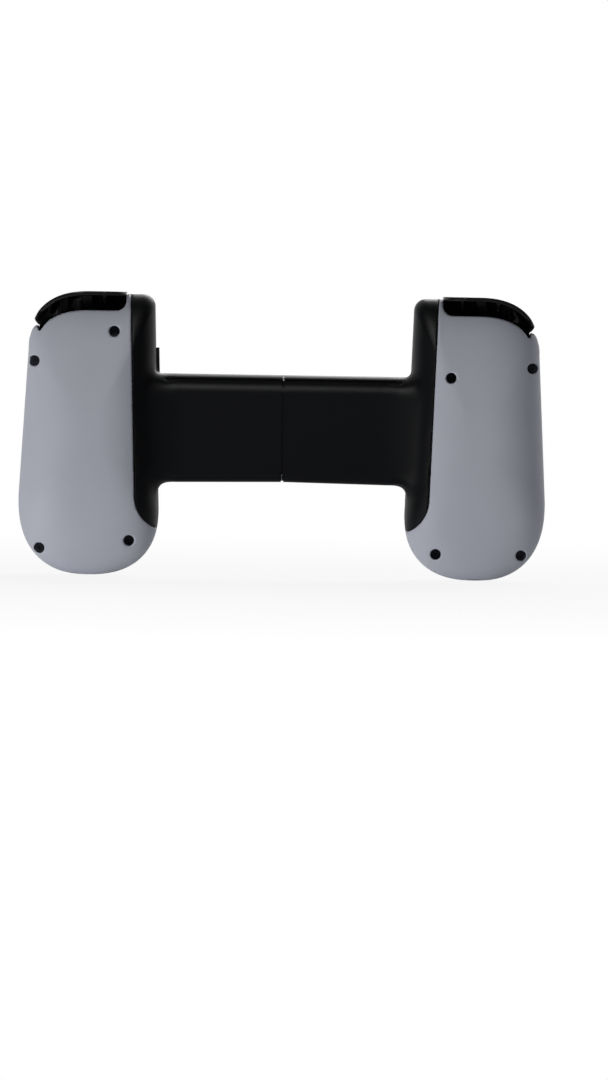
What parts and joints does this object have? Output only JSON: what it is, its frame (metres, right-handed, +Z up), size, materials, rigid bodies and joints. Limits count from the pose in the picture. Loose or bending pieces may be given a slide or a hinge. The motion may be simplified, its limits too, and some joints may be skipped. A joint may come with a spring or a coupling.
{
  "type": "mobile game controller",
  "caption": "Telescopic game controller whose two grips slide apart on a bridge to hold a phone, with sticks, buttons, bumpers and triggers.",
  "frame": {"origin": "middle of the tray face that the back of the phone rests on, at the seam between the halves", "axes": "+X to the right as seen from behind, along the slide; +Y out of the front, where the buttons are; +Z up towards the triggers, as the controller is held"},
  "size_m": [0.1756, 0.0344, 0.0945],
  "materials": {
    "shell_grey": "fine satin texture",
    "bridge_black": "fine matte texture",
    "trigger_black": "smoky gloss",
    "rubber": "matte",
    "button_pale": "gloss",
    "steel": "plain",
    "acetal": "moulded",
    "board": "solder mask",
    "copper": "polyimide film"
  },
  "bodies": {
    "right_half": {"right_back_cover": "shell_grey", "right_front_shell": "shell_grey", "right_bridge_back": "bridge_black", "right_bridge_tray": "bridge_black", "right_end_pad": "rubber", "right_board": "board", "right_cover_screws": "steel", "right_rack": "acetal", "right_trigger_pin": "steel", "right_trigger_spring": "steel", "right_trigger_bracket": "bridge_black", "right_bumper_switch": "steel", "right_stick_base": "bridge_black", "face_pad": "rubber", "phone_plug": "steel", "charge_port": "steel", "return_springs": "steel", "flex_cable": "copper"},
    "left_half": {"left_back_cover": "shell_grey", "left_front_shell": "shell_grey", "left_bridge_back": "bridge_black", "left_bridge_tray": "bridge_black", "left_end_pad": "rubber", "left_board": "board", "left_cover_screws": "steel", "left_rack": "acetal", "left_trigger_pin": "steel", "left_trigger_spring": "steel", "left_trigger_bracket": "bridge_black", "left_bumper_switch": "steel", "left_stick_base": "bridge_black", "d_pad_pivot": "acetal", "headphone_jack": "trigger_black"},
    "carriage": {"carriage": "bridge_black", "carriage_cover": "bridge_black", "pinion_axle": "steel"},
    "pinion": {"pinion": "acetal"},
    "right_trigger": {"right_trigger": "trigger_black"},
    "right_bumper": {"right_bumper": "trigger_black"},
    "right_stick_yoke": {"right_stick_yoke": "acetal"},
    "right_stick_rocker": {"right_stick_rocker": "acetal"},
    "right_stick_cap": {"right_stick_cap": "rubber"},
    "left_trigger": {"left_trigger": "trigger_black"},
    "left_bumper": {"left_bumper": "trigger_black"},
    "left_stick_yoke": {"left_stick_yoke": "acetal"},
    "left_stick_rocker": {"left_stick_rocker": "acetal"},
    "left_stick_cap": {"left_stick_cap": "rubber"},
    "face_button_top": {"face_button_top": "button_pale"},
    "face_button_right": {"face_button_right": "button_pale"},
    "face_button_bottom": {"face_button_bottom": "button_pale"},
    "face_button_left": {"face_button_left": "button_pale"},
    "menu_button": {"menu_button": "button_pale"},
    "home_button": {"home_button": "button_pale"},
    "options_button": {"options_button": "button_pale"},
    "capture_button": {"capture_button": "button_pale"},
    "d_pad_retainer": {"d_pad_retainer": "rubber"},
    "d_pad": {"d_pad": "button_pale"}
  },
  "joints": [
    {"name": "extend", "type": "slide", "parent": "right_half", "child": "left_half", "axis": [1, 0, 0], "range_m": [0, 0.08], "stiffness_N_per_m": 40, "springref_m": -0.04, "deforming": ["return_springs", "flex_cable"]},
    {"name": "carriage_slide", "type": "slide", "parent": "right_half", "child": "carriage", "axis": [1, 0, 0], "range_m": [0, 0.04]},
    {"name": "pinion_turn", "type": "hinge", "parent": "carriage", "child": "pinion", "pos_m": [0, -0.004, 0], "axis": [0, -1, 0], "range_deg": [0, 382]},
    {"name": "right_trigger_pull", "type": "hinge", "parent": "right_half", "child": "right_trigger", "pos_m": [-0.0715, 0.003, 0.034], "axis": [1, 0, 0], "range_deg": [0, 15], "stiffness_Nm_per_rad": 0.05},
    {"name": "right_bumper_press", "type": "slide", "parent": "right_half", "child": "right_bumper", "axis": [0, 0, -1], "range_m": [0, 0.0008], "stiffness_N_per_m": 500, "springref_m": -0.0004},
    {"name": "right_stick_up_down", "type": "hinge", "parent": "right_half", "child": "right_stick_yoke", "pos_m": [-0.062, 0.002, -0.018], "axis": [1, 0, 0], "range_deg": [-18, 18], "stiffness_Nm_per_rad": 0.06},
    {"name": "right_stick_left_right", "type": "hinge", "parent": "right_stick_yoke", "child": "right_stick_rocker", "pos_m": [-0.062, 0.002, -0.018], "axis": [0, 0, 1], "range_deg": [-18, 18], "stiffness_Nm_per_rad": 0.06},
    {"name": "right_stick_click", "type": "slide", "parent": "right_stick_rocker", "child": "right_stick_cap", "axis": [0, -1, 0], "range_m": [0, 0.0005], "stiffness_N_per_m": 600},
    {"name": "left_trigger_pull", "type": "hinge", "parent": "left_half", "child": "left_trigger", "pos_m": [0.0715, 0.003, 0.034], "axis": [1, 0, 0], "range_deg": [0, 15], "stiffness_Nm_per_rad": 0.05},
    {"name": "left_bumper_press", "type": "slide", "parent": "left_half", "child": "left_bumper", "axis": [0, 0, -1], "range_m": [0, 0.0008], "stiffness_N_per_m": 500, "springref_m": -0.0004},
    {"name": "left_stick_up_down", "type": "hinge", "parent": "left_half", "child": "left_stick_yoke", "pos_m": [0.0685, 0.002, 0.013], "axis": [1, 0, 0], "range_deg": [-18, 18], "stiffness_Nm_per_rad": 0.06},
    {"name": "left_stick_left_right", "type": "hinge", "parent": "left_stick_yoke", "child": "left_stick_rocker", "pos_m": [0.0685, 0.002, 0.013], "axis": [0, 0, 1], "range_deg": [-18, 18], "stiffness_Nm_per_rad": 0.06},
    {"name": "left_stick_click", "type": "slide", "parent": "left_stick_rocker", "child": "left_stick_cap", "axis": [0, -1, 0], "range_m": [0, 0.0005], "stiffness_N_per_m": 600},
    {"name": "face_button_top_press", "type": "slide", "parent": "right_half", "child": "face_button_top", "axis": [0, -1, 0], "range_m": [0, 0.0012], "stiffness_N_per_m": 300},
    {"name": "face_button_right_press", "type": "slide", "parent": "right_half", "child": "face_button_right", "axis": [0, -1, 0], "range_m": [0, 0.0012], "stiffness_N_per_m": 300},
    {"name": "face_button_bottom_press", "type": "slide", "parent": "right_half", "child": "face_button_bottom", "axis": [0, -1, 0], "range_m": [0, 0.0012], "stiffness_N_per_m": 300},
    {"name": "face_button_left_press", "type": "slide", "parent": "right_half", "child": "face_button_left", "axis": [0, -1, 0], "range_m": [0, 0.0012], "stiffness_N_per_m": 300},
    {"name": "menu_button_press", "type": "slide", "parent": "right_half", "child": "menu_button", "axis": [0, -1, 0], "range_m": [0, 0.0006], "stiffness_N_per_m": 300},
    {"name": "home_button_press", "type": "slide", "parent": "right_half", "child": "home_button", "axis": [0, -1, 0], "range_m": [0, 0.0006], "stiffness_N_per_m": 300},
    {"name": "options_button_press", "type": "slide", "parent": "left_half", "child": "options_button", "axis": [0, -1, 0], "range_m": [0, 0.0006], "stiffness_N_per_m": 300},
    {"name": "capture_button_press", "type": "slide", "parent": "left_half", "child": "capture_button", "axis": [0, -1, 0], "range_m": [0, 0.0006], "stiffness_N_per_m": 300},
    {"name": "d_pad_up_down", "type": "hinge", "parent": "left_half", "child": "d_pad_retainer", "pos_m": [0.0615, 0.005, -0.017], "axis": [1, 0, 0], "range_deg": [-5, 5], "stiffness_Nm_per_rad": 0.2},
    {"name": "d_pad_left_right", "type": "hinge", "parent": "d_pad_retainer", "child": "d_pad", "pos_m": [0.0615, 0.005, -0.017], "axis": [0, 0, 1], "range_deg": [-5, 5], "stiffness_Nm_per_rad": 0.2}
  ],
  "couplings": [
    {"joint": "carriage_slide", "follows": "extend", "ratio": 0.5},
    {"joint": "pinion_turn", "follows": "extend", "rad_per_m": 83.333}
  ]
}
